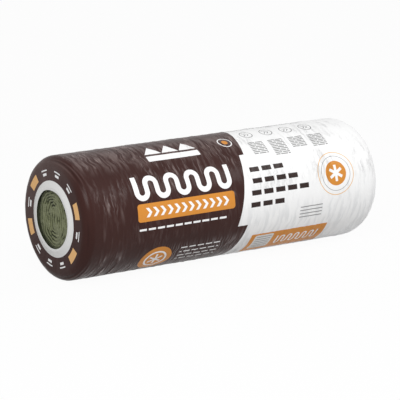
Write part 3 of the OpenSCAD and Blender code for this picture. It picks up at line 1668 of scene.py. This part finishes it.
    def vertices(self) -> tuple[np.ndarray, np.ndarray, list[Zone], np.ndarray]:
        """Works out the outer side's grid.

        Returns:
            The points as rows, columns and XYZ, the plain inner points likewise, each row's zone,
            and the creases' heights.
        """
        parts = self.stretches()
        outline = np.concatenate([points for _, points in parts])
        zones = [zone for zone, points in parts for _ in points]
        outline = np.concatenate([outline, [(self.sizes.half_length, self.sizes.opening_radius)]])
        turns = self.turns()
        tangent = np.gradient(outline, axis=0)
        tangent /= np.linalg.norm(tangent, axis=1)[:, None]
        normal = np.stack([-tangent[:, 1], tangent[:, 0]], 1)
        normal[np.abs(outline[:, 0]) < self.straight_half] = (0.0, 1.0)
        rise, creases = self.shape(outline, turns)
        radians = np.radians(turns)
        stray = np.zeros_like(rise)
        for end in End:
            side = np.sign(outline[:, 0]) == end.value
            stray += self.opening_wave(outline[:, 1], radians, end) * side[:, None]
        outer = self.placed(outline, normal, rise, stray, radians)
        inner = self.placed(outline, normal, np.full_like(rise, -self.skin), stray, radians)
        return outer, inner, zones, creases

    def placed(self, outline: np.ndarray, normal: np.ndarray, rise: np.ndarray,
               stray: np.ndarray, turns: np.ndarray) -> np.ndarray:
        """Turns the outline about the axis.

        Args:
            outline: The outline's points.
            normal: The outward directions there.
            rise: How far each grid point stands out along them.
            stray: How far each grid point moves outward from the axis.
            turns: The columns, in radians.

        Returns:
            The points, as rows, columns and XYZ. None lies under the floor.
        """
        along = outline[:, :1] + normal[:, :1] * rise
        out = outline[:, 1:] + normal[:, 1:] * rise + stray
        y = -out * np.sin(turns)[None, :]
        z = np.maximum(self.sizes.radius + out * np.cos(turns)[None, :], 0.0)
        return np.stack([along, y, z], 2)

    def build(self) -> bpy.types.Object:
        """Builds the piece.

        Returns:
            The piece.
        """
        outer, inner, zones, creases = self.vertices()
        rows, columns = outer.shape[:2]
        kept = sorted({0, rows - 1, *range(0, rows, self.inner_row_step)})
        inner = inner[kept]
        builder = GridSkin()
        first = builder.add(outer)
        second = builder.add(inner)
        for i, zone in enumerate(zones):
            kinds = [zone.value] * columns
            builder.strip(first + i * columns, first + (i + 1) * columns, columns, kinds, flip=False)
        inside = [Zone.INSIDE.value] * columns
        margin = [Zone.MARGIN.value] * columns
        for i in range(len(kept) - 1):
            builder.strip(second + i * columns, second + (i + 1) * columns, columns, inside, flip=True)
        builder.strip(second, first, columns, margin, flip=False)
        last_outer, last_inner = first + (rows - 1) * columns, second + (len(kept) - 1) * columns
        builder.strip(last_outer, last_inner, columns, margin, flip=False)
        made = builder.piece("printed_film")
        # The creases' heights are kept for the finish, which lays painted highlights and painted shade on
        # them.
        relief = made.data.attributes.new(self.RELIEF, "FLOAT", "POINT")
        heights = np.concatenate([creases.ravel() / MM, np.zeros(inner.shape[0] * columns)])
        relief.data.foreach_set("value", heights.astype(np.float32))
        return made

    def dress(self, piece: bpy.types.Object) -> None:
        """Gives each zone its finish.

        Args:
            piece: The film.
        """
        cut = math.radians(self.lap_turns[0])
        finishes = {
            Zone.BARREL: FilmFinish("barrel_print", Ink.BROWN, self.layout, printed=True),
            # The front face has painted sheen on its upper side.
            Zone.FRONT_FACE: FilmFinish(
                "front_print", Ink.BROWN, self.layout, end_blocks=True, coat=0.08, bloom_share=0.20,
            ),
            Zone.BACK_FACE: FilmFinish("back_print", Ink.WHITE, self.layout),
            Zone.MARGIN: FilmFinish("pale_margin", Ink.PALE_GREY, self.layout, crease_bump=0.12),
            Zone.INSIDE: FilmFinish(
                "film_inside", Ink.PALE_GREY, self.layout, least_roughness=0.42, crease_bump=0.12,
            ),
        }
        for zone in Zone:
            piece.data.materials.append(finishes[zone].material(self.sizes, cut))


class GridSkin:
    """Collects grids of points and the strips of faces between them, and makes one mesh of them."""

    def __init__(self) -> None:
        """Starts with no points and no faces."""
        self.points: list[np.ndarray] = []
        self.count = 0
        self.faces: list[np.ndarray] = []
        self.kinds: list[np.ndarray] = []

    def add(self, points: np.ndarray) -> int:
        """Adds points.

        Args:
            points: An array whose last side is XYZ.

        Returns:
            The number of the first one.
        """
        flat = points.reshape(-1, 3)
        self.points.append(flat)
        self.count += len(flat)
        return self.count - len(flat)

    def strip(self, first: int, second: int, columns: int, kinds: Sequence[int], flip: bool) -> None:
        """Adds one closed strip of faces between two rings of points.

        Args:
            first: The number of the first ring's first point.
            second: The number of the second ring's first point.
            columns: Points in a ring.
            kinds: Each face's material slot.
            flip: Whether the faces look the other way.
        """
        here = np.arange(columns)
        there = (here + 1) % columns
        quads = np.stack([first + here, first + there, second + there, second + here], 1)
        self.quads(quads[:, ::-1] if flip else quads, kinds)

    def quads(self, faces: np.ndarray, kinds: Sequence[int]) -> None:
        """Adds faces.

        Args:
            faces: Four point numbers for each face.
            kinds: Each face's material slot.
        """
        self.faces.append(faces)
        self.kinds.append(np.asarray(kinds))

    def piece(self, name: str) -> bpy.types.Object:
        """Makes the mesh, smooth all over.

        Args:
            name: The piece's name.

        Returns:
            The piece, linked to the scene.
        """
        points = np.concatenate(self.points)
        faces = np.concatenate(self.faces)
        mesh = bpy.data.meshes.new(name)
        mesh.from_pydata(points.tolist(), [], faces.tolist())
        mesh.polygons.foreach_set("material_index", np.concatenate(self.kinds).astype(np.int32))
        mesh.shade_smooth()
        mesh.validate()
        made = bpy.data.objects.new(name, mesh)
        bpy.context.scene.collection.objects.link(made)
        return made


@dataclass
class WoundWool:
    """The wound blanket: turns that show on both ends, and a plain barrel under the film.

    On an end, u is the distance across and v the distance up, both from the axis. The fields named dark are
    what each part adds to the painted shade, where 1 is the darkest: shade in the creases and pits, beside
    the creases, on one side, at the rim and behind the film. Where a place goes into a noise, it is divided
    by the width of the noise's cells in metres, and what is added then picks another part of it.
    """

    LAY: ClassVar[str] = "lay"

    sizes: RollSizes
    grid: int = 172
    detail_radius: float = 0.110
    inset: float = 0.5 * MM
    film_gap: float = 1.0 * MM
    front_rings: tuple[float, float] = (0.125, 0.150)
    back_ring: float = 0.118
    barrel_reach: float = 0.45
    barrel_rings: int = 7
    shoulder_rings: int = 8
    barrel_lay: tuple[float, float, float] = (0.0, 0.003, 0.0)
    spiral_clearance: float = 0.005
    slow_wander: float = 6.5 * MM
    quick_wander: float = 2.0 * MM
    crease_half_width: float = 0.0023
    crease_depth: float = 5.5 * MM
    cushion_height: float = 2.2 * MM
    layer_height: float = 0.40 * MM
    tuft_height: float = 0.75 * MM
    dent_depth: float = 0.9 * MM
    pit_depth: float = 2.2 * MM
    rim_drop: float = 6.5 * MM
    highest: float = 3.0 * MM
    crease_dark: float = 0.8
    pit_dark: float = 0.6
    edge_dark: float = 0.25
    shade_toward: tuple[float, float] = (0.9, -0.4)
    shade_dark: float = 0.34
    rim_dark: float = 0.22
    wall_dark: float = 0.5
    seed: int = 21

    def fold(self, turn: int, count: int) -> float:
        """Straight length of a turn: the pressed core grows rounder outward.

        Args:
            turn: The turn, from 0.
            count: The number of turns.

        Returns:
            The length.
        """
        return self.sizes.core_fold * (1 - turn / count)

    def spiral(self, flat_radius: float) -> np.ndarray:
        """The crease between the turns, as points about a millimetre apart.

        Args:
            flat_radius: Radius of the flat end.

        Returns:
            Rows of (u, v, distance from the spiral's start).
        """
        pitch, first = self.sizes.turn_pitch, self.sizes.turn_pitch / 2
        count = int((flat_radius - self.spiral_clearance - first) // pitch)
        core = self.sizes.core_fold
        corners = [self.run(-first, -core / 4, core / 2)]
        for k in range(count):
            r = first + k * pitch
            half = self.fold(k, count) / 2
            corners.append(self.bend(0.0, half, r, math.pi, 0.0))
            corners.append(self.run(r, half, -half))
            corners.append(self.bend(-pitch / 2, -half, r + pitch / 2, 0.0, -math.pi))
            if k < count - 1:
                corners.append(self.run(-r - pitch, -half, self.fold(k + 1, count) / 2))
        points = np.concatenate(corners)
        gone = np.concatenate([[0.0], np.cumsum(np.hypot(*np.diff(points, axis=0).T))])
        return np.column_stack([points, gone])

    @staticmethod
    def run(u: float, start: float, end: float) -> np.ndarray:
        """A straight stretch of the crease at u, from start to end."""
        count = max(2, int(abs(end - start) / MM))
        return np.column_stack([np.full(count, u), np.linspace(start, end, count)])

    @staticmethod
    def bend(u: float, v: float, radius: float, start: float, end: float) -> np.ndarray:
        """Half a turn of the crease.

        Args:
            u: Its centre across.
            v: Its centre's height.
            radius: Its radius.
            start: Its first angle.
            end: Its last angle.

        Returns:
            The points.
        """
        turn = np.linspace(start, end, max(4, int(abs(end - start) * radius / MM)))
        return np.column_stack([u + radius * np.cos(turn), v + radius * np.sin(turn)])

    def warped(self, u: np.ndarray, v: np.ndarray,
               slow: Noise, quick: Noise) -> tuple[np.ndarray, np.ndarray]:
        """Moves places on an end to where they would lie if the turns were even, most near the core.

        Args:
            u: Places across the end.
            v: Places up the end.
            slow: The noise of the wide bends.
            quick: The noise of the tight ones.

        Returns:
            The places moved across and up.
        """
        loose = 1.0 - 0.45 * smooth_step(np.hypot(u, v), 0.04, 0.09)
        bend_u, bend_v = slow.at(u / 0.026, v / 0.030), slow.at(u / 0.028 + 31, v / 0.026 + 7)
        kink_u, kink_v = quick.at(u / 0.010, v / 0.012), quick.at(u / 0.011 + 9, v / 0.011)
        moved_u = u + (self.slow_wander * bend_u + self.quick_wander * kink_u) * loose
        moved_v = v + (self.slow_wander * bend_v + self.quick_wander * kink_v) * loose
        return moved_u, moved_v

    @staticmethod
    def nearest(line: np.ndarray, u: np.ndarray, v: np.ndarray) -> tuple[np.ndarray, np.ndarray]:
        """Finds the nearest point of the crease line to each place.

        Args:
            line: The crease line, from spiral().
            u: Places across the end.
            v: Places up the end.

        Returns:
            That point's distance from the line's start, and its distance from the place.
        """
        tree = KDTree(len(line))
        for k, (line_u, line_v, _) in enumerate(line):
            tree.insert((line_u, line_v, 0.0), k)
        tree.balance()
        found = [tree.find((a, b, 0.0)) for a, b in zip(u.tolist(), v.tolist())]
        index = np.array([hit[1] for hit in found])
        return line[index, 2], np.array([hit[2] for hit in found])

    def face(self, u: np.ndarray, v: np.ndarray, end: End) -> tuple[np.ndarray, np.ndarray]:
        """Shapes one end face.

        Args:
            u: Places across the end.
            v: Places up the end, from the axis.
            end: Which end.

        Returns:
            How far each place stands out, and its lay: rows of (distance on, distance across, painted shade).
        """
        s = self.sizes
        seed = self.seed + 10 * end.value
        shoulder = s.front_shoulder if end == End.FRONT else s.back_shoulder
        slow, quick, rough = Noise(seed), Noise(seed + 1), Noise(seed + 2)
        away = np.hypot(u, v)
        gone, distance = self.nearest(self.spiral(s.radius - shoulder), *self.warped(u, v, slow, quick))
        parting = rough.at(u / 0.019 + 70, v / 0.024 + 70)
        parting = parting + 0.5 * quick.at(gone / 0.013, np.full_like(gone, 3.3))
        parted = smooth_step(parting, -0.65, 0.25) * (1.0 - 0.30 * smooth_step(away, 0.05, 0.085))
        width = self.crease_half_width * (0.6 + 0.8 * parted)
        crease = np.exp(-((distance / width) ** 2)) * parted
        belly = np.clip(distance / (s.turn_pitch / 2), 0, 1)
        pits = smooth_step(quick.layered(u / 0.007 + 20, v / 0.010 + 20, 2), 0.42, 0.72)
        rise = self.cushion_height * (belly * (2 - belly) - 0.6)
        rise = rise + self.layer_height * rough.at(gone / 0.016, distance / 0.0017)
        rise = rise + self.tuft_height * rough.layered(u / 0.009 + 50, v / 0.009, 3)
        rise = rise + self.dent_depth * slow.layered(u / 0.022 + 80, v / 0.026, 2)
        rise = rise - self.crease_depth * crease - self.pit_depth * pits
        rise = rise - self.rim_drop * smooth_step(away, s.opening_radius - 0.020, s.lip_radius)
        hidden = smooth_step(away, s.lip_radius + 0.001, self.detail_radius)
        rise = rise * (1 - hidden) - self.inset * hidden
        # Painted shade in the creases, in the pits, beside the creases and near the opening.
        soft = self.crease_dark * crease + self.pit_dark * pits + self.edge_dark * (1 - belly)
        darkness = np.clip(soft * (1 - hidden) + self.shade(u, v), 0, 1)
        return np.minimum(rise, self.highest), np.column_stack([gone, distance, darkness])

    def shade(self, u: np.ndarray, v: np.ndarray) -> np.ndarray:
        """Painted shade of an end near its opening: darker on one side, at the rim and behind the film.

        Args:
            u: Places across the end.
            v: Places up the end.

        Returns:
            The darkness.
        """
        opening, lip = self.sizes.opening_radius, self.sizes.lip_radius
        away = np.hypot(u, v)
        toward_u, toward_v = self.shade_toward
        side = smooth_step((toward_u * u + toward_v * v) / np.maximum(away, MM), 0.0, 0.9)
        side = side * smooth_step(away, opening - 0.060, opening - 0.002)
        rim = smooth_step(away, opening - 0.012, opening + 0.003)
        wall = smooth_step(away, lip - 0.005, lip + 0.002)
        return self.shade_dark * side + self.rim_dark * rim + self.wall_dark * wall

    def end_grid(self, end: End) -> tuple[np.ndarray, np.ndarray, np.ndarray]:
        """The points of one detailed end disc, laid out as a square grid pressed into a circle.

        Args:
            end: Which end.

        Returns:
            The points, their lay, and the numbers of the rim's points in order round it.
        """
        side = np.linspace(-1.0, 1.0, self.grid + 1)
        a, b = np.meshgrid(side, side, indexing="ij")
        u = (a * np.sqrt(1 - b * b / 2) * self.detail_radius).ravel()
        v = (b * np.sqrt(1 - a * a / 2) * self.detail_radius).ravel()
        rise, lay = self.face(u, v, end)
        x = end.value * (self.sizes.wool_half_length + rise)
        points = np.column_stack([x, u, self.sizes.radius + v])
        number = self.numbers()
        rim = np.concatenate([number[:-1, 0], number[-1, :-1], number[:0:-1, -1], number[0, :0:-1]])
        return points, lay, rim

    def numbers(self) -> np.ndarray:
        """The numbers of an end grid's points, in its rows and columns."""
        return np.arange((self.grid + 1) ** 2).reshape(self.grid + 1, self.grid + 1)

    def barrel(self) -> list[tuple[float, float]]:
        """The plain outline under the film, from the front disc's rim to the back one's.

        Returns:
            Points as (along, out).
        """
        s = self.sizes
        half, radius = s.wool_half_length - self.inset, s.radius - self.film_gap - self.inset
        made = [(-half, out) for out in self.front_rings]
        made += self.shoulder(-half, radius, s.front_shoulder, End.FRONT)
        made += [(x, radius) for x in np.linspace(-self.barrel_reach, self.barrel_reach, self.barrel_rings)]
        made += self.shoulder(half, radius, s.back_shoulder, End.BACK)
        return [*made, (half, self.back_ring)]

    def shoulder(self, face: float, radius: float, bend: float, end: End) -> list[tuple[float, float]]:
        """Points round a shoulder of the plain outline, in the order from front to back.

        Args:
            face: The end face's place along.
            radius: The barrel's radius.
            bend: The shoulder's radius.
            end: Which end.

        Returns:
            The points.
        """
        turns = np.linspace(0.0, math.pi / 2, self.shoulder_rings)
        turns = turns if end == End.FRONT else turns[::-1]
        centre = face - end.value * bend
        return [(centre + end.value * bend * math.cos(t), radius - bend + bend * math.sin(t)) for t in turns]

    def build(self) -> bpy.types.Object:
        """Builds the piece.

        Returns:
            The piece.
        """
        builder = GridSkin()
        number = self.numbers()
        corners = [number[:-1, :-1], number[1:, :-1], number[1:, 1:], number[:-1, 1:]]
        cells = np.stack(corners, 2).reshape(-1, 4)
        rims, lays = [], []
        for end in End:
            points, lay, rim = self.end_grid(end)
            start = builder.add(points)
            builder.quads(start + (cells[:, ::-1] if end == End.FRONT else cells), [0] * len(cells))
            rims.append(start + rim)
            lays.append(lay)
        rim_points = np.concatenate(builder.points)[rims[0]]
        turns = np.arctan2(rim_points[:, 2] - self.sizes.radius, rim_points[:, 1])
        outline = np.array(self.barrel())
        rings = np.stack([
            np.repeat(outline[:, :1], len(turns), 1),
            outline[:, 1:] * np.cos(turns)[None, :],
            self.sizes.radius + outline[:, 1:] * np.sin(turns)[None, :],
        ], 2)
        first = builder.add(rings)
        lays.append(np.tile(self.barrel_lay, (rings.shape[0] * rings.shape[1], 1)))
        count = len(turns)
        chain = [rims[0], *(first + i * count + np.arange(count) for i in range(len(outline))), rims[1]]
        for ring, following in zip(chain, chain[1:]):
            quads = np.stack([ring, following, np.roll(following, -1), np.roll(ring, -1)], 1)
            builder.quads(quads, [0] * count)
        piece = builder.piece("wound_wool")
        lay = piece.data.attributes.new(self.LAY, "FLOAT_VECTOR", "POINT")
        lay.data.foreach_set("vector", np.concatenate(lays).astype(np.float32).ravel())
        return piece

    def dress(self, piece: bpy.types.Object) -> None:
        """Gives the wool its finish."""
        piece.data.materials.append(WoolFinish().material())


@dataclass(frozen=True)
class Lamp:
    """A soft rectangular lamp that looks at the roll."""

    name: str
    place: tuple[float, float, float]
    size: tuple[float, float]
    power: float
    aim: tuple[float, float, float] = (0.0, 0.0, 0.2)

    def build(self) -> bpy.types.Object:
        """Builds the lamp.

        Returns:
            The lamp.
        """
        light = bpy.data.lights.new(self.name, "AREA")
        light.shape = "RECTANGLE"
        light.size, light.size_y = self.size
        light.energy = self.power
        made = bpy.data.objects.new(self.name, light)
        made.location = self.place
        made.rotation_mode = "QUATERNION"
        made.rotation_quaternion = (Vector(self.aim) - Vector(self.place)).to_track_quat("-Z", "Y")
        bpy.context.scene.collection.objects.link(made)
        return made


@dataclass
class Studio:
    """The floor, the world, the lamps and the camera."""

    floor_half: float = 60.0
    floor_colour: Colour = (0.65, 0.65, 0.65, 1.0)
    floor_white_share: float = 0.96
    background: Colour = (1.0, 1.0, 1.0, 1.0)
    world_strength: float = 0.50
    lamps: tuple[Lamp, ...] = (
        Lamp("key_lamp", (-1.9, -2.4, 2.5), (1.8, 1.4), 86.5),
        Lamp("fill_lamp", (2.5, -1.6, 2.4), (2.4, 1.2), 44.5),
    )
    camera_aim: tuple[float, float, float] = (-0.02873, 0.0, 0.19116)
    camera_distance: float = 7.46606
    camera_turn: float = -34.337
    camera_rise: float = 13.032
    lens: float = 202.28

    def build(self) -> None:
        """Builds all of it."""
        self.floor()
        self.world()
        for lamp in self.lamps:
            lamp.build()
        self.camera()
        bpy.context.scene.view_settings.view_transform = "Standard"

    def floor(self) -> None:
        """Lays a plain pale floor, nearly white to the camera, that keeps the roll's shadow."""
        half = self.floor_half
        mesh = bpy.data.meshes.new("floor")
        corners = [(-half, -half, 0.0), (half, -half, 0.0), (half, half, 0.0), (-half, half, 0.0)]
        mesh.from_pydata(corners, [], [(0, 1, 2, 3)])
        floor = bpy.data.objects.new("floor", mesh)
        bpy.context.scene.collection.objects.link(floor)
        g = Surface("floor")
        g.tree.nodes.remove(g.shader)
        matt = g.node("ShaderNodeBsdfDiffuse")
        white = g.node("ShaderNodeEmission")
        mixed = g.node("ShaderNodeMixShader")
        g.fill(matt, {"Color": self.floor_colour})
        g.fill(white, {"Color": self.background, "Strength": 1.0})
        g.fill(mixed, {0: self.background_rays(g) * self.floor_white_share})
        g.tree.links.new(matt.outputs[0], mixed.inputs[1])
        g.tree.links.new(white.outputs[0], mixed.inputs[2])
        g.tree.links.new(mixed.outputs[0], g.tree.nodes["Material Output"].inputs["Surface"])
        mesh.materials.append(g.material)

    @staticmethod
    def background_rays(g: Graph) -> Field:
        """Marks the rays that show the background: straight ones, mirrored ones and those through glass.

        Args:
            g: The material's or world's tree.

        Returns:
            1 for such a ray.
        """
        path = g.node("ShaderNodeLightPath")
        kinds = ("Is Camera Ray", "Is Glossy Ray", "Is Transmission Ray")
        return g.most(*(Field(g, path.outputs[kind]) for kind in kinds))

    def world(self) -> None:
        """Sets the world: white where it is seen, and a plain soft light elsewhere."""
        world = bpy.data.worlds.new("studio")
        bpy.context.scene.world = world
        world.use_nodes = True
        g = Graph(world.node_tree)
        back = world.node_tree.nodes["Background"]
        strength = self.background_rays(g) * (1.0 - self.world_strength) + self.world_strength
        g.fill(back, {"Color": self.background, "Strength": strength})

    def camera(self) -> None:
        """Sets the camera at the photograph's viewing angle."""
        turn, rise = math.radians(self.camera_turn), math.radians(self.camera_rise)
        back = Vector((math.sin(turn) * math.cos(rise), -math.cos(turn) * math.cos(rise), math.sin(rise)))
        data = bpy.data.cameras.new("camera")
        data.lens = self.lens
        data.sensor_width = 36.0
        data.clip_start, data.clip_end = 0.1, 200.0
        made = bpy.data.objects.new("camera", data)
        made.location = Vector(self.camera_aim) + back * self.camera_distance
        made.rotation_mode = "QUATERNION"
        made.rotation_quaternion = (-back).to_track_quat("-Z", "Y")
        bpy.context.scene.collection.objects.link(made)
        bpy.context.scene.camera = made


def report(piece: bpy.types.Object) -> None:
    """Logs a piece's name and its number of triangles."""
    triangles = sum(len(polygon.vertices) - 2 for polygon in piece.data.polygons)
    LOG.info("%s: %d triangles", piece.name, triangles)


def main() -> None:
    """Builds the studio and the roll's two pieces."""
    logging.basicConfig(level=logging.INFO)
    Studio().build()
    sizes = RollSizes.from_frame()

    wool = WoundWool(sizes)
    wound_wool = wool.build()
    wool.dress(wound_wool)
    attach(wound_wool, BODY)
    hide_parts("wool_roll")
    report(wound_wool)

    film = PrintedFilm(sizes)
    printed_film = film.build()
    film.dress(printed_film)
    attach(printed_film, BODY)
    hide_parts("film_sleeve")
    report(printed_film)


if __name__ == "__main__":
    main()
